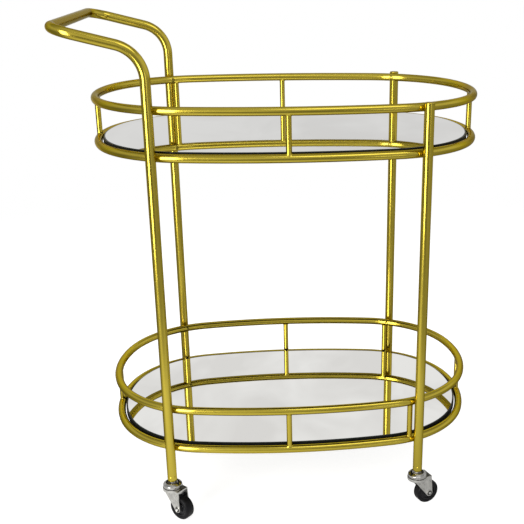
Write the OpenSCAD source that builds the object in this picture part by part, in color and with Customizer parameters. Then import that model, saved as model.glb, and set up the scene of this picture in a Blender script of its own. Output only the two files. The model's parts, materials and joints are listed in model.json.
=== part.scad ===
// Two-shelf bar cart: oval mirrored trays on four bent-tube uprights, with a push handle
// and four swivel casters. Origin on the floor under the middle of the whole cart,
// +X away from the handle, +Y towards the back, +Z up.

/* [Trays] */
// Length of each tray over its tubes
tray_length = 760; // [640:5:840]
// Width of each tray over its tubes
tray_width = 500; // [440:5:540]
// Radius of the oval at its two ends
end_radius = 290; // [260:5:320]
// Radius of the oval at its four rounded corners
corner_radius = 202.5; // [180:2.5:210]
// Half angle of each end arc
end_angle = 18; // [14:1:22]
// Outer diameter of the rail and ring tubes
rail_d = 16; // [12:1:18]
// Outer diameter of the short posts between ring and rail
post_d = 11; // [6:1:12]
// Height from ring centre to rail centre
gallery_height = 84; // [60:1:110]

/* [Posts] */
// Upper posts by the uprights, off towards the middle: front left, front right, back left, back right
upper_post_shift = [-8, -8, 9, -3]; // [-20:1:20]
// Lower posts by the uprights, off towards the middle: front left, front right, back left, back right
lower_post_shift = [-16, 11, -4, 7]; // [-20:1:20]
// Upper middle posts, off along the tray: front, back
upper_middle_shift = [-3, -1]; // [-20:1:20]
// Lower middle posts, off along the tray: front, back
lower_middle_shift = [-12, -4]; // [-20:1:20]

/* [Heights] */
// Height of the lower tray's ring centre above the floor
lower_ring_z = 146; // [130:1:220]
// Height of the upper tray's ring centre above the floor
upper_ring_z = 732; // [600:1:820]
// Height where the lines of an upright and a handle arm would meet
handle_corner_z = 919; // [880:1:1000]

/* [Uprights and handle] */
// Outer diameter of the upright and handle tube
leg_d = 19; // [16:1:25]
// Wall thickness of every tube
tube_wall = 1.2; // [1:0.1:2]
// Direction of each upright from the centre of its corner arc
leg_angle = 67.5; // [60:0.5:72]
// Rise of the handle arms above level
handle_rise = 14; // [0:1:20]
// Distance from the middle of the tray to the handle's cross-bar
handle_reach = 409; // [380:1:450]
// Bend radius from upright to arm
arm_bend = 62; // [45:1:75]
// Bend radius from arm to cross-bar
grip_bend = 44; // [35:1:60]

/* [Shelves] */
// Thickness of the mirror glass
mirror_t = 3; // [2:0.5:5]
// Thickness of the black board under the mirror
board_t = 9; // [6:0.5:12]
// Gap between the ring tube and the edge of the board
shelf_gap = 1.5; // [1.5:0.5:12]
// Height of the glass above the ring's top
shelf_rise = 1.5; // [0:0.5:4]
// Distance from the middle of the tray to the outer cross bars
bar_x = 170; // [120:5:200]

/* [Casters] */
// Wheel diameter
wheel_d = 50; // [40:1:56]
// Wheel width
wheel_w = 21; // [16:1:22]
// Distance of the axle behind the swivel axis
trail = 23; // [18:1:26]
// Height of the tube ends above the floor
leg_bottom_z = 78; // [76:1:90]
// Direction of the front left caster's wheel from its swivel axis
turn_fl = -40; // [-180:5:180]
// Direction of the front right caster's wheel from its swivel axis
turn_fr = 25; // [-180:5:180]
// Direction of the back left caster's wheel from its swivel axis
turn_bl = 40; // [-180:5:180]
// Direction of the back right caster's wheel from its swivel axis
turn_br = -25; // [-180:5:180]

/* [Hidden] */
// Facets: round sections, long bends, wheels, balls, dimples and hexagons
round_fn = 48;
sweep_fn = 360;
wheel_fn = 96;
ball_fn = 32;
dimple_fn = 24;
hex_fn = 6;
// Overlap of a cut with the face that it opens
eps = 0.01;
// Butt seams: gap left between two bent pieces, and the weld band that joins them
seam_gap = 0.03;
seam_proud = 0.04;
seam_w = 1.6;

// Oval of the tube centres: an end arc, a corner arc and a side arc in each quarter
oval_a = (tray_length - rail_d) / 2;
oval_b = (tray_width - rail_d) / 2;
corner_c = [oval_a - end_radius + (end_radius - corner_radius) * cos(end_angle),
            (end_radius - corner_radius) * sin(end_angle)];
side_radius = (corner_c.x ^ 2 + (corner_c.y - oval_b) ^ 2 - corner_radius ^ 2)
    / (2 * (oval_b - corner_radius - corner_c.y));
side_angle = atan2(corner_c.y - oval_b + side_radius, corner_c.x);

// Uprights stand outside the corner arcs, touching the tubes
leg_dir = [cos(leg_angle), sin(leg_angle)];
foot = corner_c + corner_radius * leg_dir;
leg = foot + (rail_d + leg_d) / 2 * leg_dir;
leg_bore = leg_d - 2 * tube_wall;
leg_top_z = upper_ring_z + gallery_height + rail_d / 2 + 0.5;
cap_t = 2.5;
cap_edge_r = 1;
cap_plug_h = 4;
// The trays' middle stands off the origin by half of the handle's overhang
tray_x = (handle_reach + leg_d / 2 - tray_length / 2) / 2;
// Side signs of the four corners, with names
CORNERS = [["fl", -1, -1, turn_fl], ["fr", 1, -1, turn_fr],
           ["bl", -1, 1, turn_bl], ["br", 1, 1, turn_br]];

// Handle: arm length and the tangent lengths of its two bends
arm_turn = 90 - handle_rise;
arm_tangent = arm_bend * tan(arm_turn / 2);
arm_length = (handle_reach - leg.x) / cos(handle_rise);

// Rolled-in tube end and dimples that hold the threaded foot plug
rolled_h = 4;
rolled_d = leg_d - 2.4;
dimple_d = 3.4;
plug_dimple_d = 5;
dimple_z = leg_bottom_z + 12;
dimple_count = 6;
plug_h = 22;

// Leg bolts through the rail and ring tubes
bolt_d = 5;
bolt_hole_d = 5.4;
bolt_head_d = 8.6;
bolt_head_t = 1.8;
seat_d = bolt_head_d + 1;
seat_depth = 1;
nut_d = 7;
nut_l = 9;

// Shelf stack, measured from the ring centre
mirror_top = rail_d / 2 + shelf_rise;
mirror_z = mirror_top - mirror_t;
board_z = mirror_z - board_t;
bar_t = 3;
bar_w = 20;
bar_lip = 4;
bar_z = board_z - bar_t;
board_inset = rail_d / 2 + shelf_gap;
mirror_inset = board_inset + 1.2;
screw_d = 4;
screw_hole_d = 4.4;
screw_y = 120;
screw_head_d = 8;
screw_head_t = 2.4;
screw_grip = 6;

// Caster, from the top down
stem_d = 10;
stem_in = 18;
collar_across = 14;
collar_h = 4;
cap_r = 19;
cap_top_z = leg_bottom_z - collar_h;
race_z = cap_top_z - 4;
ball_d = 4.6;
ball_pitch_r = 13.3;
ball_count = 14;
crown_t = 2;
crown_top_z = race_z - 5;
crown_z = crown_top_z - crown_t;
crown_r = 20;
crown_reach = 27;
skirt_h = 3.6;
skirt_t = 1.8;
king_bore_d = 10.1;
washer_d = 16;
washer_t = 1.5;
washer_z = crown_z - 0.3 - washer_t;
king_head_d = 13;
king_head_t = 2;
cheek_out = 14;
cheek_t = 2;
cheek_front = 13;
boss_r = 7;
axle_z = wheel_d / 2;
axle_d = 6;
rivet_head_d = 9.6;
rivet_head_t = 2;
bush_bore_d = 6.1;
bush_d = 9;
bush_l = 2 * (cheek_out - cheek_t) - 0.6;
tyre_bore_r = 17;
tread_r = 5;
hub_w = wheel_w - 2;

function tray_nodes(t) = [for (n = ["rail", "ring", "posts", "bars", "board", "mirror", "screws"])
    str(t, "_", n)];
function caster_nodes(c) = [for (n = ["stem", "race_cap", "balls", "washer",
    "fork", "axle", "hub", "tyre", "bush"]) str(n, "_", c)];
function flat(lists) = [for (l = lists) each l];

gold = [0.72, 0.65, 0.22];
zinc = [0.72, 0.73, 0.74];

// ---- Helpers ----

module tube(d, h, wall = tube_wall) {
    difference() {
        cylinder(d = d, h = h, $fn = round_fn);
        translate([0, 0, -1]) cylinder(d = d - 2 * wall, h = h + 2, $fn = round_fn);
    }
}

// A tube, or a solid rod where wall is 0, bent about Z from one angle to another
module bent_tube(d, radius, from, to, wall = tube_wall) {
    rotate([0, 0, from]) rotate_extrude(angle = to - from, $fn = sweep_fn)
        translate([radius, 0]) difference() {
            circle(d = d, $fn = round_fn);
            if (wall > 0) circle(d = d - 2 * wall, $fn = round_fn);
        }
}

// Places children at the four corners, turned so that +X points outwards along the bolts
module at_legs(p) {
    for (c = CORNERS)
        translate([c[1] * p.x, c[2] * p.y, 0])
            rotate([0, 0, atan2(c[2] * leg_dir.y, c[1] * leg_dir.x)]) children();
}

// A bent piece of the oval, just short of its neighbours at both ends
module oval_piece(c, radius, from, to) {
    short = seam_gap / radius * 180 / PI;
    translate([c.x, c.y, 0]) bent_tube(rail_d, radius, from + short, to - short);
}

// Weld band around the end of a corner arc
module oval_seam(t) {
    half = seam_w / 2 / corner_radius * 180 / PI;
    translate([corner_c.x, corner_c.y, 0]) bent_tube(rail_d + 2 * seam_proud, corner_radius,
        t - half, t + half, tube_wall + 2 * seam_proud);
}

module oval_loop() {
    for (s = [0, 180]) rotate([0, 0, s]) {
        oval_piece([oval_a - end_radius, 0], end_radius, -end_angle, end_angle);
        oval_piece([0, oval_b - side_radius], side_radius, side_angle, 180 - side_angle);
        for (m = [0, 1]) mirror([0, m, 0]) {
            oval_piece(corner_c, corner_radius, end_angle, side_angle);
            oval_seam(end_angle);
            oval_seam(side_angle);
        }
    }
}

// Level oval tube, drilled and spot-faced for the leg bolts
module oval_tube() {
    difference() {
        oval_loop();
        at_legs(foot) rotate([0, 90, 0]) {
            translate([0, 0, -rail_d]) cylinder(d = bolt_hole_d, h = 2 * rail_d, $fn = round_fn);
            translate([0, 0, -rail_d])
                cylinder(d = seat_d, h = rail_d / 2 + seat_depth, $fn = round_fn);
        }
    }
}

// Points of the oval moved inwards by inset, one quarter of each arc kind at a time
function arc_points(c, r, from, to, n) =
    [for (i = [0 : n - 1]) let (t = from + (to - from) * i / n) c + r * [cos(t), sin(t)]];
function quarter(inset) = concat(
    arc_points([oval_a - end_radius, 0], end_radius - inset, 0, end_angle, 6),
    arc_points(corner_c, corner_radius - inset, end_angle, side_angle, 20),
    arc_points([0, oval_b - side_radius], side_radius - inset, side_angle, 90, 6));
// Distance from the long axis to the side arc's tube centre
function side_y(x) = oval_b - side_radius + sqrt(side_radius ^ 2 - x ^ 2);
function half_oval(inset) = concat(quarter(inset),
    [for (i = [len(quarter(inset)) : -1 : 1]) let (p = i == len(quarter(inset))
        ? [0, oval_b - inset] : quarter(inset)[i]) [-p.x, p.y]]);
module oval_plate(inset, t) {
    pts = half_oval(inset);
    linear_extrude(t) polygon(concat(pts, [for (p = pts) -p]));
}

module tray_holes(d, h) {
    for (x = [-bar_x, 0, bar_x], y = [-screw_y, screw_y])
        translate([x, y, 0]) cylinder(d = d, h = h, $fn = round_fn);
}

// ---- Trays, each from its ring centre ----

module rail() {
    color(gold) translate([0, 0, gallery_height]) oval_tube();
}

module ring() {
    color(gold) oval_tube();
}

// Rod along the tube's tangent, for coping what is welded to it; +X points outwards
module cope() {
    rotate([90, 0, 0]) cylinder(d = rail_d, h = 4 * rail_d, center = true, $fn = round_fn);
}

// A post between ring and rail, coped to both
module post() {
    difference() {
        cylinder(d = post_d, h = gallery_height, $fn = round_fn);
        cope();
        translate([0, 0, gallery_height]) cope();
    }
}

// Places children on a corner arc, off the upright's foot by shift towards the tray's middle
module on_corner(c, shift) {
    t = leg_angle + shift / corner_radius * 180 / PI;
    p = corner_c + corner_radius * [cos(t), sin(t)];
    translate([c[1] * p.x, c[2] * p.y, 0])
        rotate([0, 0, atan2(c[2] * sin(t), c[1] * cos(t))]) children();
}

// Posts at both ends, near the middles of both sides and beside each upright
module posts(beside, middle) {
    color(gold) {
        for (s = [-1, 1]) translate([s * oval_a, 0, 0]) post();
        for (i = [0, 1]) let (s = 2 * i - 1, x = middle[i])
            translate([x, s * side_y(x), 0]) rotate([0, 0, s * acos(x / side_radius)]) post();
        for (i = [0 : 3]) on_corner(CORNERS[i], beside[i]) post();
    }
}

// Flat bars welded across the ring, drilled for the board screws
module bars() {
    color(gold) difference() {
        for (x = [-bar_x, 0, bar_x]) {
            end_y = side_y(x) - bar_lip;
            translate([x - bar_w / 2, -end_y, bar_z]) cube([bar_w, 2 * end_y, bar_t]);
        }
        for (x = [-bar_x, 0, bar_x], s = [-1, 1])
            translate([x, s * side_y(x), 0]) rotate([0, 0, s * acos(x / side_radius)]) cope();
        translate([0, 0, bar_z - 1]) tray_holes(screw_hole_d, bar_t + 2);
    }
}

module board() {
    color([0.06, 0.06, 0.06]) translate([0, 0, board_z]) difference() {
        oval_plate(board_inset, board_t);
        translate([0, 0, -1]) tray_holes(screw_d, 1 + screw_grip);
    }
}

module mirror_glass() {
    color([0.83, 0.85, 0.86]) translate([0, 0, mirror_z]) oval_plate(mirror_inset, mirror_t);
}

module screws() {
    color(zinc) translate([0, 0, bar_z]) {
        tray_holes(screw_d, bar_t + screw_grip);
        translate([0, 0, -screw_head_t]) tray_holes(screw_head_d, screw_head_t);
    }
}

// ---- Uprights and handle ----

// Straight upright with a rolled-in foot, dimples, and bolt holes where the tubes touch it
module upright(h) {
    difference() {
        union() {
            translate([0, 0, leg_bottom_z + rolled_h]) tube(leg_d, h - rolled_h);
            translate([0, 0, leg_bottom_z]) difference() {
                cylinder(d1 = rolled_d, d2 = leg_d, h = rolled_h, $fn = round_fn);
                translate([0, 0, -eps]) cylinder(d1 = rolled_d - 2 * tube_wall, d2 = leg_bore,
                    h = rolled_h + 2 * eps, $fn = round_fn);
            }
        }
        for (i = [0 : dimple_count - 1]) rotate([0, 0, 360 * (i + 0.25) / dimple_count])
            translate([leg_d / 2 + 1, 0, dimple_z]) sphere(d = dimple_d, $fn = dimple_fn);
    }
}

module nut_holes() {
    for (z = [lower_ring_z, upper_ring_z], dz = [0, gallery_height])
        translate([0, 0, z + dz]) at_legs(leg) rotate([0, -90, 0])
            cylinder(d = nut_d, h = leg_d, $fn = round_fn);
}

// Straight stretch of the handle with a weld band at each end
module seamed_tube(h) {
    translate([0, 0, seam_gap]) tube(leg_d, h - 2 * seam_gap);
    for (z = [0, h]) translate([0, 0, z - seam_w / 2])
        tube(leg_d + 2 * seam_proud, seam_w, tube_wall + 2 * seam_proud);
}

// One side of the handle frame: an upright, its bend, its arm and the corner of the grip
module handle_side() {
    translate([-leg.x, -leg.y, 0]) upright(handle_corner_z - arm_tangent - leg_bottom_z);
    translate([-leg.x - arm_bend, -leg.y, handle_corner_z - arm_tangent]) rotate([90, 0, 0])
        bent_tube(leg_d, arm_bend, 0, arm_turn);
    at_handle() {
        translate([-arm_tangent, -leg.y, 0]) rotate([0, -90, 0])
            seamed_tube(arm_length - grip_bend - arm_tangent);
        translate([grip_bend - arm_length, grip_bend - leg.y, 0])
            bent_tube(leg_d, grip_bend, 180, 270);
    }
}

// Moves children from the tilted plane of the handle, whose -X runs along the arms
module at_handle() {
    translate([-leg.x, 0, handle_corner_z]) rotate([0, handle_rise, 0]) children();
}

module handle_frame() {
    color(gold) difference() {
        union() {
            for (m = [0, 1]) mirror([0, m, 0]) handle_side();
            at_handle() translate([-arm_length, grip_bend - leg.y, 0]) rotate([-90, 0, 0])
                seamed_tube(2 * (leg.y - grip_bend));
        }
        nut_holes();
    }
}

module right_leg(side) {
    color(gold) difference() {
        translate([leg.x, side * leg.y, 0]) upright(leg_top_z - leg_bottom_z);
        nut_holes();
    }
}

// Plugs with a rounded rim that close the tops of the two right uprights
module leg_caps() {
    color(gold) for (s = [-1, 1]) translate([leg.x, s * leg.y, leg_top_z])
        rotate_extrude($fn = round_fn) {
            square([leg_d / 2 - cap_edge_r, cap_t]);
            square([leg_d / 2, cap_t - cap_edge_r]);
            translate([leg_d / 2 - cap_edge_r, cap_t - cap_edge_r]) intersection() {
                circle(r = cap_edge_r, $fn = round_fn);
                square(cap_edge_r);
            }
            translate([0, -cap_plug_h]) square([leg_bore / 2, cap_plug_h]);
        }
}

module leg_bolts() {
    color(gold) for (z = [lower_ring_z, upper_ring_z], dz = [0, gallery_height])
        translate([0, 0, z + dz]) at_legs(foot) rotate([0, 90, 0]) {
            translate([0, 0, seat_depth - rail_d / 2]) cylinder(d = bolt_d, h = rail_d + nut_l - 1.5,
                $fn = round_fn);
            translate([0, 0, seat_depth - rail_d / 2 - bolt_head_t])
                cylinder(d1 = bolt_head_d - 2, d2 = bolt_head_d, h = bolt_head_t, $fn = round_fn);
        }
}

// Threaded inserts set in the uprights, flush with the tube
module leg_nuts() {
    color(zinc) for (z = [lower_ring_z, upper_ring_z], dz = [0, gallery_height])
        translate([0, 0, z + dz]) at_legs(foot) rotate([0, 90, 0])
            translate([0, 0, rail_d / 2]) difference() {
                cylinder(d = nut_d, h = nut_l, $fn = round_fn);
                translate([0, 0, -1]) cylinder(d = bolt_d, h = nut_l + 2, $fn = round_fn);
            }
}

module foot_plugs() {
    color(zinc) for (c = CORNERS)
        translate([c[1] * leg.x, c[2] * leg.y, leg_bottom_z + rolled_h]) difference() {
            cylinder(d = leg_bore, h = plug_h, $fn = round_fn);
            translate([0, 0, -1]) cylinder(d = stem_d, h = plug_h + 2, $fn = round_fn);
            for (i = [0 : dimple_count - 1]) rotate([0, 0, 360 * (i + 0.25) / dimple_count])
                translate([leg_d / 2 + 1, 0, dimple_z - leg_bottom_z - rolled_h])
                    sphere(d = plug_dimple_d, $fn = dimple_fn);
        }
}

// ---- Casters, each from the floor under its swivel axis, trailing along +X ----

module at_corner(c) {
    translate([c[1] * leg.x, c[2] * leg.y, 0]) rotate([0, 0, c[3]]) children();
}

// Threaded stem with its hexagon collar, and the king pin riveted over below
module stem() {
    color(zinc) {
        translate([0, 0, washer_z - king_head_t])
            cylinder(d = stem_d, h = leg_bottom_z + stem_in - washer_z + king_head_t, $fn = round_fn);
        translate([0, 0, cap_top_z])
            cylinder(d = collar_across / cos(180 / hex_fn), h = collar_h, $fn = hex_fn);
        translate([0, 0, washer_z - king_head_t])
            cylinder(d1 = king_head_d - 3, d2 = king_head_d, h = king_head_t, $fn = round_fn);
    }
}

// Dished upper race with a raised ring and a turned-down rim
module race_cap() {
    color(zinc) rotate_extrude($fn = round_fn) polygon([
        [stem_d / 2, race_z], [stem_d / 2, cap_top_z - 0.1], [8.6, cap_top_z - 0.1],
        [10.4, cap_top_z + 1], [13, cap_top_z + 1], [16.6, cap_top_z - 1], [cap_r, race_z + 1],
        [cap_r, race_z - 4], [cap_r - 1.5, race_z - 4], [cap_r - 1.5, race_z - 0.6],
        [cap_r - 2.4, race_z]]);
}

module balls() {
    color("silver") for (i = [0 : ball_count - 1]) rotate([0, 0, 360 * i / ball_count])
        translate([ball_pitch_r, 0, race_z - ball_d / 2]) sphere(d = ball_d, $fn = ball_fn);
}

module washer() {
    color(zinc) translate([0, 0, washer_z]) tube(washer_d, washer_t, (washer_d - stem_d) / 2);
}

// Point where a line from p touches a circle about c, on the side given by s
function touch(p, c, r, s) = let (v = p - c, a = s * acos(r / norm(v)), t = atan2(v.y, v.x) + a)
    c + r * [cos(t), sin(t)];

// Outline of a fork cheek: from the crown down to the boss around the axle
module cheek_outline() {
    top_front = [-cheek_front, crown_z + 1];
    low_front = [-cheek_front, crown_z - 3];
    top_rear = [crown_reach, crown_z + 1];
    axle = [trail, axle_z];
    polygon([top_rear, top_front, low_front, touch(low_front, axle, boss_r, 1), axle,
        touch(top_rear, axle, boss_r, -1)]);
    translate(axle) circle(r = boss_r, $fn = round_fn);
}

module fork() {
    color(zinc) difference() {
        union() {
            translate([0, 0, crown_z]) {
                cylinder(r = crown_r, h = crown_t, $fn = round_fn);
                translate([0, -cheek_out, 0]) cube([crown_reach, 2 * cheek_out, crown_t]);
            }
            translate([0, 0, crown_z - skirt_h])
                tube(2 * crown_r, skirt_h + 1, skirt_t);
            for (y = [cheek_out, cheek_t - cheek_out]) translate([0, y, 0]) rotate([90, 0, 0])
                linear_extrude(cheek_t) cheek_outline();
        }
        translate([0, 0, crown_z - 1]) cylinder(d = king_bore_d, h = crown_t + 2, $fn = round_fn);
        translate([trail, 0, axle_z]) rotate([90, 0, 0])
            cylinder(d = axle_d, h = 4 * cheek_out, center = true, $fn = round_fn);
    }
}

module axle() {
    color(zinc) translate([trail, 0, axle_z]) rotate([90, 0, 0]) {
        cylinder(d = axle_d, h = 2 * cheek_out, center = true, $fn = round_fn);
        for (s = [0, 180]) rotate([s, 0, 0]) translate([0, 0, cheek_out])
            cylinder(d1 = rivet_head_d, d2 = rivet_head_d - 3, h = rivet_head_t, $fn = round_fn);
    }
}

// Wheel pieces are turned about Z first, then laid on the axle
module on_axle() {
    translate([trail, 0, axle_z]) rotate([90, 0, 0]) rotate_extrude($fn = wheel_fn) children();
}

module hub() {
    color([0.08, 0.08, 0.09]) on_axle() polygon([for (s = [-1, 1], p = s < 0
        ? [[bush_d / 2, hub_w / 2], [8.5, hub_w / 2], [9.5, hub_w / 2 - 3],
           [tyre_bore_r - 3, hub_w / 2 - 3], [tyre_bore_r - 2, hub_w / 2 - 1],
           [tyre_bore_r, hub_w / 2 - 1]]
        : [[tyre_bore_r, 1 - hub_w / 2], [tyre_bore_r - 2, 1 - hub_w / 2],
           [tyre_bore_r - 3, 3 - hub_w / 2], [9.5, 3 - hub_w / 2], [8.5, -hub_w / 2],
           [bush_d / 2, -hub_w / 2]]) p]);
}

// Tread ring: a band, and a shoulder rounded on both sides
module tyre() {
    depth = wheel_d / 2 - tyre_bore_r;
    color([0.05, 0.05, 0.05]) on_axle() translate([tyre_bore_r, 0]) {
        translate([0, -wheel_w / 2]) square([depth - tread_r, wheel_w]);
        translate([0, tread_r - wheel_w / 2]) square([depth, wheel_w - 2 * tread_r]);
        intersection() {
            for (s = [-1, 1]) translate([depth - tread_r, s * (wheel_w / 2 - tread_r)])
                circle(r = tread_r, $fn = round_fn);
            translate([0, -wheel_w / 2]) square([depth, wheel_w]);
        }
    }
}

module bush() {
    color("silver") translate([trail, 0, axle_z]) rotate([90, 0, 0])
        translate([0, 0, -bush_l / 2]) tube(bush_d, bush_l, (bush_d - bush_bore_d) / 2);
}

// ---- The cart ----

translate([tray_x, 0, 0]) {
    handle_frame();
    right_leg(-1);  // leg_front_right
    right_leg(1);  // leg_back_right
    leg_caps();
    leg_bolts();
    leg_nuts();
    foot_plugs();
    for (t = [["upper", upper_ring_z, upper_post_shift, upper_middle_shift],
              ["lower", lower_ring_z, lower_post_shift, lower_middle_shift]]) translate([0, 0, t[1]]) {
        rail();
        ring();
        posts(t[2], t[3]);
        bars();
        board();
        mirror_glass();
        screws();
    }
    for (c = CORNERS) at_corner(c) {
        stem();
        race_cap();
        balls();
        washer();
        fork();
        axle();
        hub();
        tyre();
        bush();
    }
}
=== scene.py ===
import json
import math

import bmesh
import bpy
from mathutils import Matrix, Vector, noise


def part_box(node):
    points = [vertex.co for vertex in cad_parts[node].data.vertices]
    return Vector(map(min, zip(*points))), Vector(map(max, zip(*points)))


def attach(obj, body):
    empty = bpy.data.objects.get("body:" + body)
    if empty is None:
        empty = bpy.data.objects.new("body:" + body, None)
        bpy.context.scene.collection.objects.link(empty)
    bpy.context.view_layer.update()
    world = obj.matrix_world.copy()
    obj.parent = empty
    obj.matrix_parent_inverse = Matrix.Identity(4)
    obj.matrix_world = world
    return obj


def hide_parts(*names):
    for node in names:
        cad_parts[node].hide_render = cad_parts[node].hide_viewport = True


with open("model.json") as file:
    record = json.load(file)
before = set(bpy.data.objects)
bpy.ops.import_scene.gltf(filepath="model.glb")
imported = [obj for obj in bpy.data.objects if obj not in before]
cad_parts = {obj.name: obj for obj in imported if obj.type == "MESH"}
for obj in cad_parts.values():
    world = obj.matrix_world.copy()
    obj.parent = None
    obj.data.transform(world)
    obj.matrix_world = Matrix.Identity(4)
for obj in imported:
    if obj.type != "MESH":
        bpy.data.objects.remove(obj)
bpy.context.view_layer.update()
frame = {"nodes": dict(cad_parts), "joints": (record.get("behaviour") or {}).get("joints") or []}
scene = bpy.context.scene

# ---- Sizes, in metres, as in the CAD frame ----

TUBE_R = 0.008
POST_R = 0.0055
LEG_R = 0.0095
WALL = 0.0012
LEG_SIDES = 64
END_R, CORNER_R, END_ANGLE = 0.290, 0.2025, math.radians(18)
LEG_ANGLE = math.radians(67.5)
HANDLE_Z, HANDLE_RISE, HANDLE_REACH = 0.919, math.radians(14), 0.409
ARM_BEND, GRIP_BEND = 0.062, 0.044
FOOT_Z, ROLLED_H, ROLLED_IN = 0.078, 0.004, 0.0013
DIMPLES, DIMPLE_Z, DIMPLE_R, DIMPLE_DEPTH = 6, 0.090, 0.0020, 0.0012
LEG_TOP_Z, CAP_H = 0.824, 0.0025
WELD = 0.0014
SHELF_GAP, SHELF_RISE = 0.0015, 0.0015
BOARD_T, MIRROR_T = 0.009, 0.003
# How far the mirror stands inside the board, and how wide the dark rim on its face is
MIRROR_IN, DARK_RIM = 0.0012, 0.0026
# A caster in its own frame: the swivel axis is Z and the axle lies along Y
TRAIL, WHEEL_R, TREAD_HALF = 0.023, 0.025, 0.0105
CHEEK_Y, RIVET_Y, RIVET_R = 0.0139, 0.014, 0.003
# How far the posts by the uprights and by the middles of the sides stand from those places
POST_SHIFT = {"upper": (-0.008, -0.008, 0.009, -0.003), "lower": (-0.016, 0.011, -0.004, 0.007)}
MIDDLE_SHIFT = {"upper": (-0.003, -0.001), "lower": (-0.012, -0.004)}
SIDES = {"fl": "front_left", "fr": "front_right", "bl": "back_left", "br": "back_right"}

joints = {j["name"]: Vector(j["pos_m"]) for j in frame["joints"]}


def middle(node):
    lo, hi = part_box(node)
    return (lo + hi) / 2


tray_lo, tray_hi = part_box("upper_ring")
TRAY_X = (tray_lo.x + tray_hi.x) / 2
OVAL_A = (tray_hi.x - tray_lo.x) / 2 - TUBE_R
OVAL_B = (tray_hi.y - tray_lo.y) / 2 - TUBE_R
RING_Z = {t: middle(f"{t}_ring").z for t in ("upper", "lower")}
GALLERY = middle("upper_rail").z - middle("upper_ring").z
LEGS = {c: joints[f"{s}_swivel"] for c, s in SIDES.items()}
CORNER = Vector((OVAL_A - END_R + (END_R - CORNER_R) * math.cos(END_ANGLE),
                 (END_R - CORNER_R) * math.sin(END_ANGLE)))
SIDE_R = (CORNER.x ** 2 + (CORNER.y - OVAL_B) ** 2 - CORNER_R ** 2) / (2 * (OVAL_B - CORNER_R - CORNER.y))
SIDE_ANGLE = math.atan2(CORNER.y - OVAL_B + SIDE_R, CORNER.x)


# ---- Node materials ----

# A Mix node's sockets for colours, which share their names with others
MIX_FACTOR, MIX_A, MIX_B, MIX_RESULT = 0, 6, 7, 2


class Nodes:
    """Short names for making shader nodes and joining them."""

    def __init__(self, tree):
        self.tree = tree

    def add(self, kind, **sockets):
        n = self.tree.nodes.new("ShaderNode" + kind)
        for name, value in sockets.items():
            self.feed(n.inputs[name.replace("_", " ")], value)
        return n

    def feed(self, socket, value):
        """Joins a node's output to a socket, or gives the socket a fixed value."""
        if isinstance(value, bpy.types.NodeSocket):
            self.tree.links.new(value, socket)
        else:
            socket.default_value = value

    def ramp(self, fac, *stops):
        """Colours or grey levels at places between 0 and 1."""
        n = self.add("ValToRGB", Fac=fac)
        while len(n.color_ramp.elements) < len(stops):
            n.color_ramp.elements.new(0.5)
        for e, (at, colour) in zip(n.color_ramp.elements, stops):
            e.position = at
            e.color = (*colour, 1) if isinstance(colour, tuple) else (colour, colour, colour, 1)
        return n.outputs["Color"]

    def mix(self, fac, a, b):
        """Goes from a to b, each of them a node's output or three numbers."""
        n = self.add("Mix")
        n.data_type = "RGBA"
        self.feed(n.inputs[MIX_FACTOR], fac)
        for i, colour in ((MIX_A, a), (MIX_B, b)):
            self.feed(n.inputs[i], (*colour, 1) if isinstance(colour, tuple) else colour)
        return n.outputs[MIX_RESULT]


class Paint(Nodes):
    """One node material: a shader and the nodes that feed it."""

    def __init__(self, name, **values):
        self.mat = bpy.data.materials.new(name)
        self.mat.use_nodes = True
        super().__init__(self.mat.node_tree)
        self.shader = self.tree.nodes["Principled BSDF"]
        self.place = self.add("TexCoord").outputs["Object"]
        for socket, value in values.items():
            self.set(socket.replace("_", " "), value)

    def set(self, socket, value):
        self.feed(self.shader.inputs[socket], value)

    def noise(self, scale, detail=2.0, rough=0.5, stretch=None, distortion=0.0):
        place = self.place
        if stretch:
            place = self.add("Mapping", Vector=place, Scale=stretch).outputs["Vector"]
        return self.add("TexNoise", Vector=place, Scale=scale, Detail=detail, Roughness=rough,
                        Distortion=distortion).outputs["Fac"]

    def cells(self, scale):
        return self.add("TexVoronoi", Vector=self.place, Scale=scale).outputs["Distance"]

    def span(self, fac, lo, hi, at=(0.3, 0.7)):
        """Takes the values between the two in at to the range from lo to hi."""
        return self.add("MapRange", Value=fac, From_Min=at[0], From_Max=at[1],
                        To_Min=lo, To_Max=hi).outputs["Result"]

    def bump(self, *layers):
        """Layers are (height, strength, distance)."""
        normal = None
        for height, strength, distance in layers:
            n = self.add("Bump", Strength=strength, Distance=distance, Height=height)
            if normal:
                self.feed(n.inputs["Normal"], normal)
            normal = n.outputs["Normal"]
        self.set("Normal", normal)


def gold_paint(name="gold_paint", shade=1.0):
    """Bright gold enamel: uneven tone, the faintest waviness and a few dull handling marks."""
    p = Paint(name, Metallic=1.0, Coat_Weight=0.15, Coat_Roughness=0.05,
              Specular_Tint=(0.42, 0.34, 0.05, 1))
    tones = (0.50, 0.388, 0.042), (0.56, 0.443, 0.054)
    # A shade below 1 darkens both tones, which paints shade on the part
    low, high = (tuple(shade * v for v in tone) for tone in tones)
    p.set("Base Color", p.ramp(p.noise(7, 4, 0.55), (0.3, low), (0.7, high)))
    marks = p.ramp(p.noise(25, 2, 0.5, stretch=(1, 1, 0.3)), (0.62, 0.0), (0.76, 1.0))
    p.set("Roughness", p.mix(marks, p.span(p.noise(30, 2), 0.14, 0.19), (0.26, 0.26, 0.26)))
    p.bump((p.noise(40, 2), 0.1, 0.0003))
    return p.mat


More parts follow.
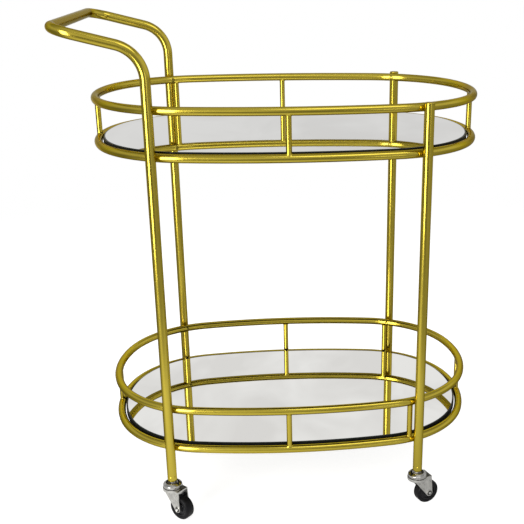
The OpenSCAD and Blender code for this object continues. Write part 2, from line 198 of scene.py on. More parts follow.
def mirror_silver():
    """Silvered glass: clean, with the faintest haze and a few wiped smears."""
    p = Paint("mirror_silver", Metallic=1.0)
    haze = p.noise(6, 3, 0.5, stretch=(1.0, 0.6, 1.0), distortion=0.5)
    p.set("Base Color", p.ramp(haze, (0.38, (0.745, 0.735, 0.71)), (0.58, (0.855, 0.85, 0.825))))
    p.set("Roughness", p.span(p.noise(16, 5, 0.6, stretch=(1.0, 2.6, 1.0)), 0.012, 0.045, (0.5, 0.8)))
    return p.mat


def glass_edge():
    """Ground edge of the mirror, dark and slightly green."""
    p = Paint("mirror_edge", Roughness=0.35, Specular_IOR_Level=0.2)
    grit = p.noise(300, 3)
    p.set("Base Color", p.ramp(grit, (0.3, (0.004, 0.006, 0.005)), (0.7, (0.012, 0.016, 0.013))))
    return p.mat


def black_board():
    """Black painted fibreboard: fine fibres on its edge, softly uneven sheen."""
    p = Paint("black_board", Specular_IOR_Level=0.15)
    grain = p.noise(500, 4, 0.6, stretch=(0.3, 0.3, 1.0))
    p.set("Base Color", p.ramp(grain, (0.3, (0.003, 0.003, 0.003)), (0.75, (0.010, 0.009, 0.008))))
    p.set("Roughness", p.span(p.noise(60, 3), 0.42, 0.62))
    p.bump((grain, 0.25, 0.0003))
    return p.mat


def zinc_plate(name="zinc_plate", tone=(0.66, 0.65, 0.61), rough=(0.24, 0.38)):
    """Bright zinc: cloudy passivation, fine draw lines and dull spots."""
    p = Paint(name, Metallic=1.0)
    cloud = p.noise(130, 5, 0.65)
    dark = tuple(0.68 * v for v in tone)
    p.set("Base Color", p.ramp(cloud, (0.3, dark), (0.65, tone)))
    spots = p.ramp(p.noise(700, 3), (0.58, 0.0), (0.70, 1.0))
    p.set("Roughness", p.mix(spots, p.span(cloud, *rough), (0.45, 0.45, 0.45)))
    p.bump((p.noise(900, 3), 0.12, 0.0002), (cloud, 0.1, 0.0005))
    return p.mat


def black_rubber():
    """Tread rubber: matt, faintly dusty, with a fine moulded grain."""
    p = Paint("black_rubber", Specular_IOR_Level=0.15)
    dust = p.noise(120, 6, 0.7)
    p.set("Base Color", p.ramp(dust, (0.45, (0.003, 0.003, 0.004)), (0.85, (0.014, 0.013, 0.012))))
    p.set("Roughness", p.span(dust, 0.34, 0.55))
    p.bump((p.noise(1500, 3), 0.3, 0.0002), (p.cells(900), 0.1, 0.0002))
    return p.mat


def black_nylon():
    """Moulded wheel centre: satin black with flow marks and fine scuffs."""
    p = Paint("black_nylon", Specular_IOR_Level=0.35)
    flow = p.noise(200, 4, 0.6, distortion=1.2)
    scuffs = p.ramp(p.noise(900, 5, 0.7, stretch=(1, 1, 0.2)), (0.62, 0.0), (0.72, 1.0))
    p.set("Base Color", p.mix(scuffs, (0.004, 0.004, 0.005), (0.03, 0.03, 0.03)))
    p.set("Roughness", p.span(flow, 0.18, 0.30))
    p.bump((flow, 0.15, 0.0003))
    return p.mat


# The bolt heads take the gold at about a third of its tone: painted shade for the dark spots where they
# meet the tubes
GOLD, BOLT_PAINTED_SHADE = gold_paint(), gold_paint("gold_bolts_painted_shade", 0.35)
MIRROR, EDGE, BOARD = mirror_silver(), glass_edge(), black_board()
ZINC, PRESSED = zinc_plate(), zinc_plate("zinc_cap", (0.58, 0.57, 0.54), (0.08, 0.18))
STEEL = zinc_plate("bright_steel", (0.70, 0.70, 0.68), (0.12, 0.22))
# Dark zinc: painted shade for the ring round each rivet head
ZINC_PAINTED_SHADE = zinc_plate("zinc_in_shadow", (0.10, 0.095, 0.085), (0.40, 0.55))
RUBBER, NYLON = black_rubber(), black_nylon()


# ---- Mesh building ----

X, Y, Z = Vector((1, 0, 0)), Vector((0, 1, 0)), Vector((0, 0, 1))


def circle(centre, e1, e2, radius, n=48, bend=None):
    """Points round a centre, starting at e1 and turning to e2. Bend scales the radius by the angle."""
    return [centre + radius * (bend(t) if bend else 1.0) * (math.cos(t) * e1 + math.sin(t) * e2)
            for t in (2 * math.pi * i / n for i in range(n))]


def skin(rings, closed=False, caps=(False, False), sharp=35):
    """Smooth surface through rings of points. Each ring is closed, and all have as many points."""
    n, count = len(rings[0]), len(rings)
    faces = [(r * n + i, r * n + (i + 1) % n, (r + 1) % count * n + (i + 1) % n, (r + 1) % count * n + i)
             for r in range(count if closed else count - 1) for i in range(n)]
    if caps[0]:
        faces.append(tuple(reversed(range(n))))
    if caps[1]:
        faces.append(tuple((count - 1) * n + i for i in range(n)))
    mesh = bpy.data.meshes.new("skin")
    mesh.from_pydata([tuple(p) for ring in rings for p in ring], [], faces)
    mesh.validate()
    bm = bmesh.new()
    bm.from_mesh(mesh)
    bmesh.ops.recalc_face_normals(bm, faces=bm.faces)
    bm.to_mesh(mesh)
    bm.free()
    mesh.shade_smooth()
    mesh.set_sharp_from_angle(angle=math.radians(sharp))
    return mesh


def hexagon(t):
    """How much farther out a hexagon lies at angle t than in the middle of its flats."""
    return 1 / math.cos((t + math.pi / 6) % (math.pi / 3) - math.pi / 6)


def lathe(profile, n=48, move=None, **how):
    """Turns (radius, height) points about Z. A third value of 1 makes that ring a hexagon."""
    rings = []
    for r, z, *hexed in profile:
        rings.append(circle(Vector((0, 0, z)), X, Y, r, n, hexagon if any(hexed) else None))
    mesh = skin(rings, **how)
    if move:
        mesh.transform(move)
    return mesh


def rounded(points, radius, steps=5):
    """A profile with all but its two end points rounded off."""
    out = [Vector(points[0])]
    for a, b, c in zip(points, points[1:], points[2:]):
        a, b, c = Vector(a), Vector(b), Vector(c)
        cut = min(radius, (a - b).length * 0.49, (c - b).length * 0.49)
        p, q = b + (a - b).normalized() * cut, b + (c - b).normalized() * cut
        for i in range(steps + 1):
            s = i / steps
            out.append((1 - s) ** 2 * p + 2 * s * (1 - s) * b + s * s * q)
    return out + [Vector(points[-1])]


def joined(*meshes):
    """One mesh out of several. Their materials are left behind."""
    bm = bmesh.new()
    for m in meshes:
        bm.from_mesh(m)
    mesh = bpy.data.meshes.new("joined")
    bm.to_mesh(mesh)
    bm.free()
    return mesh


def piece(name, mesh, body, slot, material, *nodes):
    """A visible piece that rides on a body and stands for the CAD nodes named."""
    obj = bpy.data.objects.new(name, mesh)
    scene.collection.objects.link(obj)
    mesh.name = name
    if not mesh.materials:
        mesh.materials.append(material)
    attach(obj, body)
    if nodes:
        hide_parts(*nodes)


def bevelled(mesh, width, segments=2):
    """Rounds the sharp edges of a mesh."""
    bm = bmesh.new()
    bm.from_mesh(mesh)
    bmesh.ops.remove_doubles(bm, verts=bm.verts, dist=1e-6)
    bmesh.ops.dissolve_limit(bm, angle_limit=math.radians(2), verts=bm.verts, edges=bm.edges)
    edges = [e for e in bm.edges if len(e.link_faces) == 2 and e.calc_face_angle(0) > math.radians(32)]
    bmesh.ops.bevel(bm, geom=edges, offset=width, segments=segments, profile=0.6, affect="EDGES",
                    clamp_overlap=True)
    out = bpy.data.meshes.new("bevelled")
    bm.to_mesh(out)
    bm.free()
    out.shade_smooth()
    out.set_sharp_from_angle(angle=math.radians(28))
    return out


# ---- Camera ----

cam_data = bpy.data.cameras.new("camera")
camera = bpy.data.objects.new("camera", cam_data)
scene.collection.objects.link(camera)
scene.camera = camera
cam_data.sensor_width = 36
cam_data.lens = 64.8
cam_data.shift_x, cam_data.shift_y = -0.13, 0.0725
camera.location = (-0.0345, -1.9095, 1.0791)
YAW, PITCH, ROLL = (math.radians(v) for v in (4.233, 20.295, 0.138))
camera.rotation_euler = (Matrix.Rotation(-YAW, 3, "Z") @ Matrix.Rotation(math.pi / 2 - PITCH, 3, "X")
                         @ Matrix.Rotation(-ROLL, 3, "Z")).to_euler()


# ---- Tubes ----

def flipped(v):
    """A flat vector with its left and right swapped."""
    return Vector((-v.x, v.y))


def oval(inset=0.0, step=0.006):
    """Points of the tray oval, moved inwards by inset, each with its outward direction."""
    quarter = []
    for centre, radius, start, stop in (
            (Vector((OVAL_A - END_R, 0)), END_R, 0, END_ANGLE),
            (CORNER, CORNER_R, END_ANGLE, SIDE_ANGLE),
            (Vector((0, OVAL_B - SIDE_R)), SIDE_R, SIDE_ANGLE, math.pi / 2)):
        n = math.ceil((stop - start) * radius / step)
        for i in range(n):
            t = start + (stop - start) * i / n
            way = Vector((math.cos(t), math.sin(t)))
            quarter.append((centre + (radius - inset) * way, way))
    top = (Vector((0, OVAL_B - inset)), Vector((0, 1)))
    half = quarter + [top] + [(flipped(p), flipped(w)) for p, w in reversed(quarter[1:])]
    return [(p + Vector((TRAY_X, 0)), w) for p, w in half + [(-p, -w) for p, w in half]]


def oval_tube(z):
    """A ring or a rail: a tube bent round the tray's oval at height z."""
    rings = [circle(Vector((*p, z)), Vector((*w, 0)), Z, TUBE_R, 32) for p, w in oval()]
    return skin(rings, closed=True)


def carried(points, e1):
    """Carries e1 along a path without twist. Gives two directions across the path at each point."""
    pairs, before = [], None
    for i, p in enumerate(points):
        way = (points[min(i + 1, len(points) - 1)] - points[max(i - 1, 0)]).normalized()
        if before is not None:
            e1 = before.rotation_difference(way) @ e1
        e1 = (e1 - e1.dot(way) * way).normalized()
        pairs.append((e1, way.cross(e1)))
        before = way
    return pairs


def foot_radius(h):
    """Outer radius of an upright at height h above its end, where the tube is rolled in."""
    return LEG_R - ROLLED_IN * max(0.0, 1 - h / ROLLED_H) ** 2.2


def upright_heights(top):
    """Heights of an upright's rings, close together at its rolled foot and at its dimples."""
    rolled = [FOOT_Z + ROLLED_H * (i / 8) ** 1.5 for i in range(9)]
    dimpled = [DIMPLE_Z - 0.003 + 0.0005 * i for i in range(13)]
    heights = rolled + [DIMPLE_Z - 0.0055] + dimpled + [DIMPLE_Z + 0.0055]
    z, apart = 0.12, 0.04
    while z < top - apart / 2:
        heights.append(z)
        z += apart
    return heights + [top]


def dented(ring, axis):
    """Presses the punched dimples into a ring of an upright."""
    out = []
    for p in ring:
        way = Vector((p.x - axis.x, p.y - axis.y, 0)).normalized()
        for i in range(DIMPLES):
            t = math.radians(360 / DIMPLES * (i + 0.25))
            spot = Vector((axis.x + LEG_R * math.cos(t), axis.y + LEG_R * math.sin(t), DIMPLE_Z))
            near = (p - spot).length / DIMPLE_R
            if near < 1:
                p = p - way * DIMPLE_DEPTH * (1 - near * near) ** 2
        out.append(p)
    return out


def upright_rings(axis, top):
    """Rings of an upright from inside its open foot to its top."""
    inner = foot_radius(0) - WALL
    bore = ((inner + 0.0004, 0.009), (inner, 0.002), (inner, 0.0004), (inner + 0.0003, 0.0))
    levels = [(r, FOOT_Z + h) for r, h in bore]
    levels += [(foot_radius(z - FOOT_Z), z) for z in upright_heights(top)]
    rings = [circle(Vector((axis.x, axis.y, z)), X, Y, r, LEG_SIDES) for r, z in levels]
    return [dented(r, axis) if abs(r[0].z - DIMPLE_Z) < 2 * DIMPLE_R else r for r in rings]


def handle():
    """One bent tube: both left uprights, their bends and arms, and the grip."""
    leg = LEGS["fl"]
    rise = Vector((-math.cos(HANDLE_RISE), 0, math.sin(HANDLE_RISE)))
    turn = math.pi / 2 - HANDLE_RISE
    tangent = ARM_BEND * math.tan(turn / 2)
    reach = (HANDLE_REACH - (TRAY_X - leg.x)) / math.cos(HANDLE_RISE)
    corner = Vector((leg.x, leg.y, HANDLE_Z))
    start = HANDLE_Z - tangent
    path = [Vector((leg.x - ARM_BEND * (1 - math.cos(a)), leg.y, start + ARM_BEND * math.sin(a)))
            for a in (turn * i / 28 for i in range(29))]
    for i in range(1, 6):
        path.append(corner + rise * (tangent + (reach - GRIP_BEND - tangent) * i / 6))
    centre = corner + rise * (reach - GRIP_BEND) + Vector((0, GRIP_BEND, 0))
    path += [centre + GRIP_BEND * (rise * math.sin(b) - Y * math.cos(b))
             for b in (math.pi / 2 * i / 24 for i in range(25))]
    grip = path[-1]
    path += [Vector((grip.x, grip.y * (1 - i / 8), grip.z)) for i in range(1, 9)]
    path += [Vector((p.x, -p.y, p.z)) for p in reversed(path[:-1])]
    bent = [circle(p, *pair, LEG_R, LEG_SIDES) for p, pair in zip(path, carried(path, X))]
    near = upright_rings(leg, start)
    # The far upright's rings run down, and take the order in which the bent rings arrive there
    far = [[Vector((p.x, -p.y, p.z)) for p in ring] for ring in reversed(near)]
    shift = min(range(LEG_SIDES), key=lambda k: (far[0][k] - bent[-1][0]).length)
    after, before = far[0][(shift + 1) % LEG_SIDES], far[0][shift - 1]
    way = 1 if (after - bent[-1][1]).length < (before - bent[-1][1]).length else -1
    far = [[ring[(shift + way * i) % LEG_SIDES] for i in range(LEG_SIDES)] for ring in far]
    return skin(near[:-1] + bent + far[1:])


def cap(axis):
    """Domed plug in the top of a right upright."""
    r, z = LEG_R, LEG_TOP_Z
    profile = [(r - WALL, z - 0.003), (r - WALL, z - 0.0002), (r - 0.0003, z + 0.0001), (r, z + 0.0004)]
    profile += [(r - 0.0018 * (1 - math.cos(a)), z + 0.0007 + 0.0016 * math.sin(a))
                for a in (math.pi / 2 * i / 8 for i in range(9))]
    profile += [(r * 0.55, z + CAP_H - 0.00005), (r * 0.25, z + CAP_H)]
    return lathe(profile, LEG_SIDES, Matrix.Translation((axis.x, axis.y, 0)), caps=(True, True))


def post(p, way, z, seed):
    """A post between ring and rail, with a weld fillet where it meets each tube."""
    side = Vector((-way.y, way.x, 0))
    out, base = Vector((*way, 0)), Vector((*p, z))
    n = 32

    def ring(grow, lift, top):
        pts = []
        for i in range(n):
            t = 2 * math.pi * i / n
            spot = Vector((seed * 7.3, 3 * math.cos(t), 3 * math.sin(t) + 9 * top))
            bead = WELD * (1 + 0.35 * noise.noise(spot))
            r = POST_R + bead * grow
            across = min(abs(r * math.cos(t)), TUBE_R * 0.98)
            h = math.sqrt(TUBE_R ** 2 - across ** 2) + bead * lift
            h = GALLERY - h if top else h
            pts.append(base + r * (math.cos(t) * out + math.sin(t) * side) + Vector((0, 0, h)))
        return pts

    # How far out and up each ring of the fillet lies, in beads
    fillet = [(1.15, -0.35), (1.0, 0.0), (0.72, 0.12), (0.42, 0.30), (0.18, 0.60), (0.04, 0.95),
              (0.0, 1.4)]
    foot = [ring(grow, lift, 0) for grow, lift in fillet]
    head = [ring(grow, lift, 1) for grow, lift in reversed(fillet)]
    return skin(foot + head)


def bolt_head(p, way, z):
    """Button head with a hexagon socket, on the inner side of a tube."""
    socket = [(0.0012, 0.0007, 1), (0.0014, 0.0007, 1), (0.0015, 0.0017, 1)]
    button = [(0.0021, 0.0018), (0.0030, 0.0016), (0.0037, 0.0011), (0.0042, 0.0005), (0.0043, 0.0),
              (0.0043, -0.0012)]
    mesh = lathe(socket + button, 36, caps=(True, False))
    turn = Z.rotation_difference(Vector((-way.x, -way.y, 0))).to_matrix().to_4x4()
    inner = Vector((*p, z)) - Vector((*way, 0)) * (TUBE_R - 0.001)
    mesh.transform(Matrix.Translation(inner) @ turn)
    return mesh


def right_upright(axis):
    """A straight upright, whose last ring goes in under its cap."""
    rings = upright_rings(axis, LEG_TOP_Z)
    top, under = (Vector((axis.x, axis.y, z)) for z in (LEG_TOP_Z, LEG_TOP_Z - 0.0004))
    return skin(rings + [[under + (p - top) * 0.9 for p in rings[-1]]])


piece("handle_tube", handle(), "frame", "gold_paint", GOLD, "handle_frame")
for c in ("fr", "br"):
    node = f"leg_{SIDES[c]}"
    piece(f"{node}_tube", right_upright(LEGS[c]), "frame", "gold_paint", GOLD, node)
piece("leg_cap_domes", joined(cap(LEGS["fr"]), cap(LEGS["br"])), "frame", "gold_paint", GOLD, "leg_caps")


def bolts_at():
    """Where the oval meets the uprights, each place with its outward direction."""
    way = Vector((math.cos(LEG_ANGLE), math.sin(LEG_ANGLE)))
    spot = CORNER + CORNER_R * way
    return [(Vector((sx * spot.x + TRAY_X, sy * spot.y)), Vector((sx * way.x, sy * way.y)))
            for sx in (-1, 1) for sy in (-1, 1)]


def posts_at(tray):
    """Where a tray's posts stand: at both ends, near the middle of each side and by each upright."""
    spots = [(Vector((TRAY_X + s * OVAL_A, 0)), Vector((s, 0))) for s in (-1, 1)]
    for s, x in zip((-1, 1), MIDDLE_SHIFT[tray]):
        way = Vector((x / SIDE_R, s * math.sqrt(1 - (x / SIDE_R) ** 2)))
        spots.append((Vector((TRAY_X, s * (OVAL_B - SIDE_R))) + SIDE_R * way, way))
    for (sx, sy), shift in zip(((-1, -1), (1, -1), (-1, 1), (1, 1)), POST_SHIFT[tray]):
        t = LEG_ANGLE + shift / CORNER_R
        way = Vector((sx * math.cos(t), sy * math.sin(t)))
        spots.append((Vector((TRAY_X + sx * CORNER.x, sy * CORNER.y)) + CORNER_R * way, way))
    return spots


heads = []
for t, z in RING_Z.items():
    piece(f"{t}_ring_tube", oval_tube(z), "frame", "gold_paint", GOLD, f"{t}_ring")
    piece(f"{t}_rail_tube", oval_tube(z + GALLERY), "frame", "gold_paint", GOLD, f"{t}_rail")
    posts = [post(p, w, z, i + 10 * z) for i, (p, w) in enumerate(posts_at(t))]
    piece(f"{t}_post_rods", joined(*posts), "frame", "gold_paint", GOLD, f"{t}_posts")
    heads += [bolt_head(p, w, z + dz) for p, w in bolts_at() for dz in (0, GALLERY)]
# The bolt heads' darker gold is painted shade
piece("leg_bolt_heads", joined(*heads), "frame", "gold_paint", BOLT_PAINTED_SHADE, "leg_bolts")


# ---- Shelves ----

def plate(levels):
    """A solid oval plate through (inset, height) levels from the bottom up."""
    rings = [[Vector((*p, z)) for p, _ in oval(inset)] for inset, z in levels]
    return skin(rings, caps=(True, True), sharp=20)


def board_mesh(top):
    """The black board with its edges eased."""
    low, inset = top - BOARD_T, TUBE_R + SHELF_GAP
    return plate([(inset + 0.0012, low), (inset + 0.0003, low + 0.0003), (inset, low + 0.0012),
                  (inset, top - 0.0012), (inset + 0.0003, top - 0.0003), (inset + 0.0010, top)])


def mirror_mesh(top):
    """The mirror: a bright face inside a dark rim and dark edges."""
    low, rim = top - MIRROR_T, TUBE_R + SHELF_GAP + MIRROR_IN
    mesh = plate([(rim + 0.0005, low), (rim, low + 0.0005), (rim, top - 0.0008),
                  (rim + 0.0008, top), (rim + DARK_RIM, top)])
    mesh.materials.append(EDGE)
    mesh.materials.append(MIRROR)
    mesh.polygons[-1].material_index = 1
    return mesh


for t, z in RING_Z.items():
    top = z + TUBE_R + SHELF_RISE
    piece(f"{t}_shelf_board", board_mesh(top - MIRROR_T), "frame", "black_board", BOARD, f"{t}_board")
    piece(f"{t}_mirror_glass", mirror_mesh(top), "frame", "mirror", MIRROR, f"{t}_mirror")


# ---- Casters ----

AXLE = Vector((TRAIL, 0, WHEEL_R))
ON_AXLE = Matrix.Translation(AXLE) @ Matrix.Rotation(math.pi / 2, 4, "X")


def on_side(s, y):
    """Sets a turned part on side s of the wheel (-1 or 1), y out along the axle and facing out."""
    return Matrix.Translation((TRAIL, s * y, WHEEL_R)) @ Matrix.Rotation(-s * math.pi / 2, 4, "X")


def placed(mesh, place):
    mesh.transform(place)
    return mesh


def cap_mesh():
    """Pressed race cap: sunk middle, raised ring, sloping shoulder and a turned-down rim."""
    outline = [(0.0052, 0.0722), (0.0082, 0.0722), (0.0100, 0.0750), (0.0132, 0.0752), (0.0168, 0.0730),
               (0.0190, 0.0716), (0.0190, 0.0660), (0.0176, 0.0660), (0.0176, 0.0694), (0.0120, 0.0700)]
    return lathe(rounded(outline, 0.0012), 72)


def cheek_rib(s):
    """The pressed rib down the cheek on side s (-1 or 1), a low ridge that narrows to the rivet."""
    start, stop = Vector((0.0175, 0, 0.0600)), AXLE + Vector((0, 0, 0.0085))
    face, out = Vector((0, s * CHEEK_Y, 0)), Vector((0, s, 0))
    across = Vector((1, 0, 0.15)).normalized()
    steps = 12
    n = steps + 1
    points = []
    for i in range(n):
        f = i / steps
        half = 0.0052 * (1 - f) + 0.0026 * f
        lift = 0.0011 * min(1.0, f * 5, (1 - f) * 6) + 0.0001
        for a in (math.pi * k / steps for k in range(n)):
            p = start.lerp(stop, f) + face
            points.append(tuple(p + across * half * math.cos(a) + out * lift * max(0, math.sin(a))))
    rib = bpy.data.meshes.new("rib")
    rib.from_pydata(points, [], [(r * n + i, r * n + i + 1, (r + 1) * n + i + 1, (r + 1) * n + i)
                                 for r in range(steps) for i in range(steps)])
    return rib


def fork_mesh(node, back):
    """The pressed fork with rounded edges, a rib down each cheek and a raised ring round the rivet."""
    own = frame["nodes"][node].data.copy()
    own.transform(back)
    ring = [(0.0068, -0.0002), (0.0066, 0.0005), (0.0060, 0.0008), (0.0055, 0.0005), (0.0053, 0.0)]
    pressed = []
    for s in (-1, 1):
        pressed += [cheek_rib(s), lathe(ring, 48, on_side(s, CHEEK_Y))]
    return joined(bevelled(own, 0.0007, 3), *smooth(pressed))


def smooth(meshes):
    """Turns the faces of each mesh the same way and shades it smooth."""
    for m in meshes:
        bm = bmesh.new()
        bm.from_mesh(m)
        bmesh.ops.recalc_face_normals(bm, faces=bm.faces)
        bm.to_mesh(m)
        bm.free()
        m.shade_smooth()
    return meshes


def rivet_mesh():
    """Axle rivet: domed heads with a dimple where it was set, each ringed by painted shade on the cheek.
    """
    head = [(0.0006, 0.0012), (0.0012, 0.0014), (0.0016, 0.0019), (0.0022, 0.0020), (0.0027, 0.0015),
            (0.0029, 0.0003), (0.0033, 0.0001), (0.0054, 0.0001)]
    heads = [lathe(head, 40, on_side(s, RIVET_Y), caps=(True, False)) for s in (-1, 1)]
    rod = lathe([(RIVET_R, -RIVET_Y), (RIVET_R, RIVET_Y)], 32, ON_AXLE, caps=(True, True))
    mesh = joined(*heads, rod)
    mesh.materials.append(STEEL)
    mesh.materials.append(ZINC_PAINTED_SHADE)
    # Faces farther out than the shank take the dark zinc: a thin sheet of painted shade round each head,
    # standing for the shade in the recess inside the cheek's raised ring
    for face in mesh.polygons:
        flat = face.center - AXLE
        face.material_index = int(math.hypot(flat.x, flat.z) > RIVET_R)
    return mesh


def on_axle(profile):
    """A wheel piece turned about the axle, from (radius, sideways) points."""
    return lathe(profile, 96, ON_AXLE, closed=True)


def tyre_mesh():
    """Rubber tread with rounded shoulders and a faint crown, mirrored about its middle."""
    half, r, inner, shoulder = TREAD_HALF, WHEEL_R, 0.017, 0.005
    side = [(inner, half - 0.0012), (inner + 0.0006, half - 0.0003), (inner + 0.0012, half)]
    side += [(r - shoulder + shoulder * math.sin(a), half - shoulder + shoulder * math.cos(a))
             for a in (math.pi / 2 * i / 10 for i in range(11))]
    side += [(r - 0.00002, 0.0035), (r, 0.0006), (r, 0.0)]
    return on_axle(side + [(p, -q) for p, q in reversed(side[:-1])])


def hub_mesh():
    """Wheel centre: boss, sunk web with a raised ring, and a rim lip."""
    half = [(0.0045, 0.0094), (0.0078, 0.0095), (0.0085, 0.0089), (0.0088, 0.0068), (0.0096, 0.0062),
            (0.0112, 0.0062), (0.0117, 0.0068), (0.0125, 0.0068), (0.0130, 0.0062), (0.0141, 0.0062),
            (0.0147, 0.0070), (0.0151, 0.0088), (0.0158, 0.0093), (0.0170, 0.0092)]
    half = rounded(half, 0.0004, 3)
    return on_axle(half + [(r, -w) for r, w in reversed(half)])


for c, side in SIDES.items():
    swivel, roll = joints[f"{side}_swivel"], joints[f"{side}_roll"]
    angle = math.atan2(roll.y - swivel.y, roll.x - swivel.x)
    place = Matrix.Translation((swivel.x, swivel.y, 0)) @ Matrix.Rotation(angle, 4, "Z")
    caster, wheel = f"caster_{side}", f"wheel_{side}"
    stem = bevelled(frame["nodes"][f"stem_{c}"].data, 0.0004)
    fork = placed(fork_mesh(f"fork_{c}", place.inverted()), place)
    piece(f"cap_{c}_pressed", placed(cap_mesh(), place), "frame", "zinc", PRESSED, f"race_cap_{c}")
    piece(f"stem_{c}_collar", stem, "frame", "zinc", ZINC, f"stem_{c}")
    piece(f"fork_{c}_pressed", fork, caster, "zinc", ZINC, f"fork_{c}")
    piece(f"axle_{c}_rivet", placed(rivet_mesh(), place), caster, "zinc", STEEL, f"axle_{c}")
    piece(f"tyre_{c}_tread", placed(tyre_mesh(), place), wheel, "black_rubber", RUBBER, f"tyre_{c}")
    piece(f"hub_{c}_centre", placed(hub_mesh(), place), wheel, "black_plastic", NYLON, f"hub_{c}")

# CAD nodes that stay as they are take their own finish
KEPT = {GOLD: ["upper_bars", "lower_bars"],
        ZINC: ["leg_nuts", "foot_plugs", "upper_screws", "lower_screws"] + [f"washer_{c}" for c in SIDES],
        STEEL: [f"{n}_{c}" for n in ("balls", "bush") for c in SIDES]}
for material, nodes in KEPT.items():
    for n in nodes:
        mesh = frame["nodes"][n].data
        mesh.materials.clear()
        mesh.materials.append(material)


# ---- Floor, room and lights ----

class Studio(Nodes):
    """The nodes of the floor and the room, whose brightness depends on place and direction."""

    def __init__(self, tree):
        super().__init__(tree)
        place = self.add("TexCoord")
        self.spot, self.way = place.outputs["Object"], place.outputs["Generated"]
        self.path = self.add("LightPath").outputs

    def axes(self, vector):
        return self.add("SeparateXYZ", Vector=vector).outputs

    def calc(self, kind, *values):
        n = self.add("Math")
        n.operation = kind
        for socket, value in zip(n.inputs, values):
            self.feed(socket, value)
        return n.outputs[0]

    def step(self, out, lo, hi):
        """Rises smoothly from 0 at lo to 1 at hi."""
        n = self.add("MapRange", Value=out, From_Min=lo, From_Max=hi)
        n.interpolation_type = "SMOOTHSTEP"
        return n.outputs["Result"]

    def levels(self, out, *stops):
        """Grey levels at rising values of an output."""
        lo, hi = stops[0][0], stops[-1][0]
        fac = self.add("MapRange", Value=out, From_Min=lo, From_Max=hi).outputs["Result"]
        return self.ramp(fac, *[((at - lo) / (hi - lo), level) for at, level in stops])

    def turn(self, x, y):
        """Degrees round Z: 0 towards the front, 90 towards the right."""
        round_z = self.calc("ARCTAN2", x, self.calc("MULTIPLY", y, -1.0))
        return self.calc("MULTIPLY", round_z, 180 / math.pi)

    def shade(self, fac, a, b):
        n = self.add("MixShader", Fac=fac)
        self.feed(n.inputs[1], a)
        self.feed(n.inputs[2], b)
        return n.outputs[0]


def stage_floor():
    """A pale round floor whose rim fades out into the white background.

    The tubes mirror it, so glossy rays see grey levels by direction round Z instead: one set
    near the cart and one farther away, both scaled by how far back the spot is.
    """
    bm = bmesh.new()
    bmesh.ops.create_circle(bm, cap_ends=True, radius=2.6, segments=96)
    mesh = bpy.data.meshes.new("floor")
    bm.to_mesh(mesh)
    bm.free()
    obj = bpy.data.objects.new("floor", mesh)
    scene.collection.objects.link(obj)
    mat = bpy.data.materials.new("floor")
    mat.use_nodes = True
    w = Studio(mat.node_tree)
    lit = w.tree.nodes["Principled BSDF"]
    for name, value in (("Base Color", (0.6, 0.6, 0.595, 1)), ("Roughness", 0.9),
                        ("Specular IOR Level", 0.05), ("Emission Color", (1, 1, 1, 1)),
                        ("Emission Strength", 0.80)):
        w.feed(lit.inputs[name], value)
    x, y, _ = w.axes(w.spot)
    far = w.calc("SQRT", w.calc("ADD", w.calc("MULTIPLY", x, x), w.calc("MULTIPLY", y, y)))
    turn = w.turn(x, y)
    under = w.levels(turn, (-180, 0.45), (-135, 0.32), (-110, 0.25), (-85, 0.45), (-50, 0.95),
                     (-16, 0.85), (16, 0.70), (46, 0.60), (90, 0.42), (135, 0.35), (180, 0.45))
    away = w.levels(turn, (-180, 0.42), (-130, 0.42), (-95, 0.24), (-62, 0.38), (-45, 0.70),
                    (-25, 0.66), (-5, 0.38), (30, 0.36), (90, 0.34), (140, 0.42), (180, 0.42))
    dim = w.levels(y, (-1.2, 0.85), (-0.7, 1.0), (-0.45, 0.85), (-0.2, 0.70), (0.4, 0.80))
    mirrored = w.add("Emission", Color=w.mix(w.step(far, 0.75, 1.35), under, away),
                     Strength=w.calc("MULTIPLY", dim, 1.3)).outputs[0]
    near = w.shade(w.path["Is Glossy Ray"], lit.outputs[0], mirrored)
    out = w.shade(w.step(far, 1.5, 2.45), near, w.add("BsdfTransparent").outputs[0])
    w.feed(w.tree.nodes["Material Output"].inputs["Surface"], out)
    mesh.materials.append(mat)


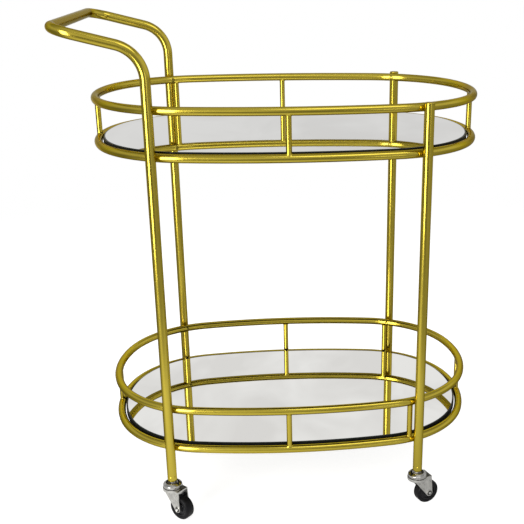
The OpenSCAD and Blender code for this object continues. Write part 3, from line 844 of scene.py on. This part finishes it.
def room():
    """Plain white for the camera. All else sees grey walls in bands, each band lying over the last
    above its two heights in degrees, with levels by direction round Z."""
    world = bpy.data.worlds.new("room")
    scene.world = world
    world.use_nodes = True
    w = Studio(world.node_tree)
    x, y, z = w.axes(w.way)
    turn = w.turn(x, y)
    rise = w.calc("MULTIPLY", w.calc("ARCSINE", z), 180 / math.pi)
    low = w.levels(turn, (-180, 0.50), (-165, 0.50), (-155, 0.95), (-142, 0.95), (-132, 0.40),
                   (-100, 0.24), (-60, 0.28), (-12, 0.28), (10, 0.22), (28, 0.48), (60, 0.44),
                   (85, 0.38), (115, 0.50), (140, 0.60), (155, 0.40), (180, 0.50))
    high = w.levels(turn, (-180, 0.75), (-160, 0.75), (-142, 0.50), (-95, 0.50), (-50, 0.48),
                    (-24, 0.95), (-10, 0.85), (3, 0.42), (15, 0.28), (50, 0.70), (105, 0.80),
                    (142, 0.45), (160, 0.75), (180, 0.75))
    back = w.levels(turn, (-180, 0.90), (-160, 0.90), (-135, 0.66), (-50, 0.66), (-20, 0.95),
                    (-5, 0.80), (15, 0.55), (50, 0.75), (105, 0.82), (135, 0.66), (160, 0.90),
                    (180, 0.90))
    over = w.levels(turn, (-180, 0.36), (-110, 0.40), (-60, 0.62), (60, 0.60), (110, 0.42),
                    (180, 0.36))
    # A bright strip just below the horizon on the front right, for a glint on the tubes
    strip = w.calc("MULTIPLY", w.step(rise, -8.8, -7.8),
                   w.calc("MULTIPLY", w.step(turn, 16, 21), w.step(turn, 34, 29)))
    seen = w.mix(strip, low, (2.2, 2.2, 2.1))
    for start, full, band in ((-4, 5, high), (14, 20, back), (33, 42, over), (60, 78, (0.66,) * 3)):
        seen = w.mix(w.step(rise, start, full), seen, band)
    shown = w.tree.nodes["Background"]
    w.feed(shown.inputs["Color"], w.mix(w.path["Is Camera Ray"], seen, (1, 1, 1)))


def softbox(name, size, power, spot, aim, colour=(1, 1, 1)):
    """A rectangular light aimed at a point."""
    data = bpy.data.lights.new(name, "AREA")
    data.shape = "RECTANGLE"
    data.size, data.size_y = size
    data.energy = power
    data.color = colour
    obj = bpy.data.objects.new(name, data)
    scene.collection.objects.link(obj)
    obj.location = spot
    obj.rotation_euler = (Vector(aim) - Vector(spot)).to_track_quat("-Z", "Y").to_euler()


stage_floor()
room()
softbox("key_left", (1.9, 4.0), 170, (-2.6, -3.2, 1.4), (0, -0.2, 1.4), (1.0, 0.99, 0.96))
softbox("top_front", (1.6, 1.1), 10, (0.75, -1.45, 3.0), (0, 0, 0.5))

scene.view_settings.view_transform = "Standard"
scene.view_settings.look = "None"
